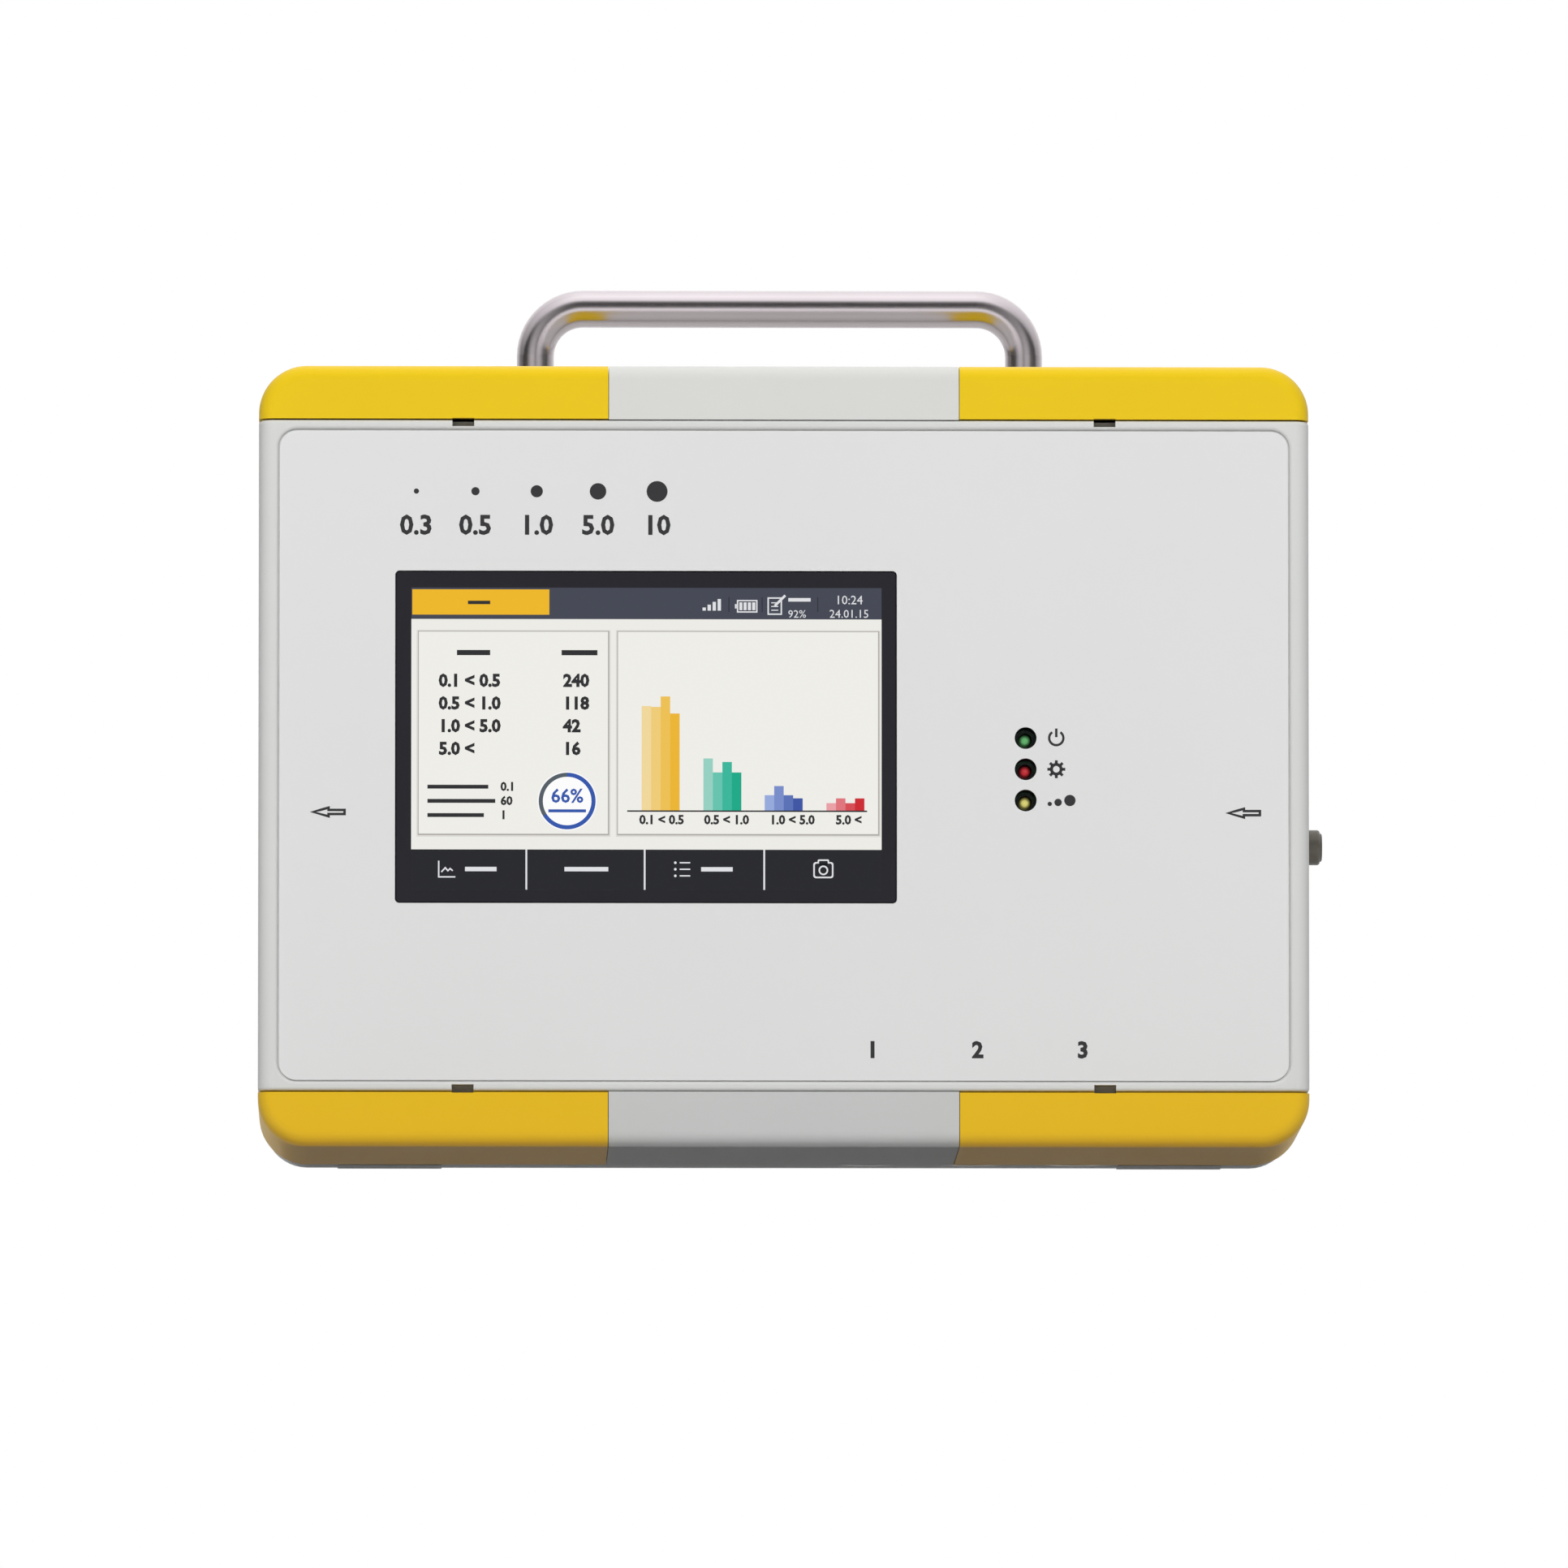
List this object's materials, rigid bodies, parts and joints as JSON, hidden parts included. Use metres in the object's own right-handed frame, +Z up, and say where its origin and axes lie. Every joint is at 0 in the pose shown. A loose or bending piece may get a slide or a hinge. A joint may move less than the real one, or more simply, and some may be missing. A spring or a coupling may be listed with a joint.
{
  "type": "airborne particle counter",
  "caption": "Grey cased airborne particle counter with a display, status lights, coloured clip-on corner covers, a bow handle, an air inlet, an exhaust vent and connectors underneath.",
  "frame": {"origin": "middle of the case's underside, on the surface that it stands on", "axes": "+X to the right along the case's width, +Y from the front to the back, +Z up"},
  "size_m": [0.2448, 0.09, 0.2032],
  "materials": {
    "case_grey": "fine moulded texture",
    "lid_grey": "fine moulded texture",
    "cover_yellow": "fine moulded texture",
    "overlay_foil": "matt printed foil",
    "screen_glass": "black printed border",
    "seal_rubber": "matt",
    "stainless": "satin",
    "screw_steel": "plated",
    "dark_metal": "dark anodised",
    "brass": "turned",
    "circuit": "solder mask",
    "panel_metal": "sheet",
    "led_green": "tinted",
    "led_red": "tinted",
    "led_yellow": "tinted",
    "black_plastic": "moulded",
    "flat_cable": "film",
    "cell_wrap": "shrink film",
    "sensor_black": "black anodised",
    "mirror_coat": "polished",
    "lens_glass": "polished",
    "hose_clear": "silicone",
    "filter_white": "moulded"
  },
  "bodies": {
    "case": {"base": "case_grey", "lid": "lid_grey", "lid_gasket": "seal_rubber", "lid_screws": "screw_steel", "front_overlay": "overlay_foil", "touch_glass": "screen_glass", "lcd_panel": "panel_metal", "display_board": "circuit", "led_board": "circuit", "led_shroud": "black_plastic", "led_green": "led_green", "led_red": "led_red", "led_yellow": "led_yellow", "front_screws": "screw_steel", "display_ribbon": "flat_cable", "handle": "stainless", "handle_screws": "screw_steel", "handle_washers": "screw_steel", "inlet_fitting": "dark_metal", "inlet_seal": "seal_rubber", "inlet_nut": "brass", "outlet_vent": "brass", "outlet_disc": "brass", "outlet_nut": "brass", "power_connector": "dark_metal", "network_connector": "dark_metal", "signal_connector": "dark_metal", "connector_inserts": "black_plastic", "connector_nuts": "brass", "main_board": "circuit", "board_standoffs": "brass", "board_screws": "screw_steel", "battery_pack": "cell_wrap", "battery_tray": "panel_metal", "sensor_housing": "sensor_black", "laser_module": "brass", "beam_lens": "lens_glass", "beam_trap": "sensor_black", "collecting_mirror": "mirror_coat", "detector_board": "circuit", "inlet_nozzle": "stainless", "exit_nozzle": "stainless", "sensor_screws": "screw_steel", "pump_head": "black_plastic", "pump_motor": "screw_steel", "pump_bracket": "panel_metal", "pump_mounts": "seal_rubber", "air_filter": "filter_white", "inlet_hose": "hose_clear", "sample_hose": "hose_clear", "pump_hose": "hose_clear", "exhaust_hose": "hose_clear"},
    "cover_top_right": {"cover_top_right": "cover_yellow"},
    "cover_top_left": {"cover_top_left": "cover_yellow"},
    "cover_bottom_right": {"cover_bottom_right": "cover_yellow"},
    "cover_bottom_left": {"cover_bottom_left": "cover_yellow"},
    "collet": {"inlet_collet": "dark_metal"}
  },
  "joints": [
    {"name": "cover_top_right_slide", "type": "slide", "parent": "case", "child": "cover_top_right", "axis": [0, 0, 1], "range_m": [0, 0.015]},
    {"name": "cover_top_left_slide", "type": "slide", "parent": "case", "child": "cover_top_left", "axis": [0, 0, 1], "range_m": [0, 0.015]},
    {"name": "cover_bottom_right_slide", "type": "slide", "parent": "case", "child": "cover_bottom_right", "axis": [0, 0, -1], "range_m": [0, 0.015]},
    {"name": "cover_bottom_left_slide", "type": "slide", "parent": "case", "child": "cover_bottom_left", "axis": [0, 0, -1], "range_m": [0, 0.015]},
    {"name": "collet_slide", "type": "slide", "parent": "case", "child": "collet", "axis": [-1, 0, 0], "range_m": [0, 0.001]}
  ]
}
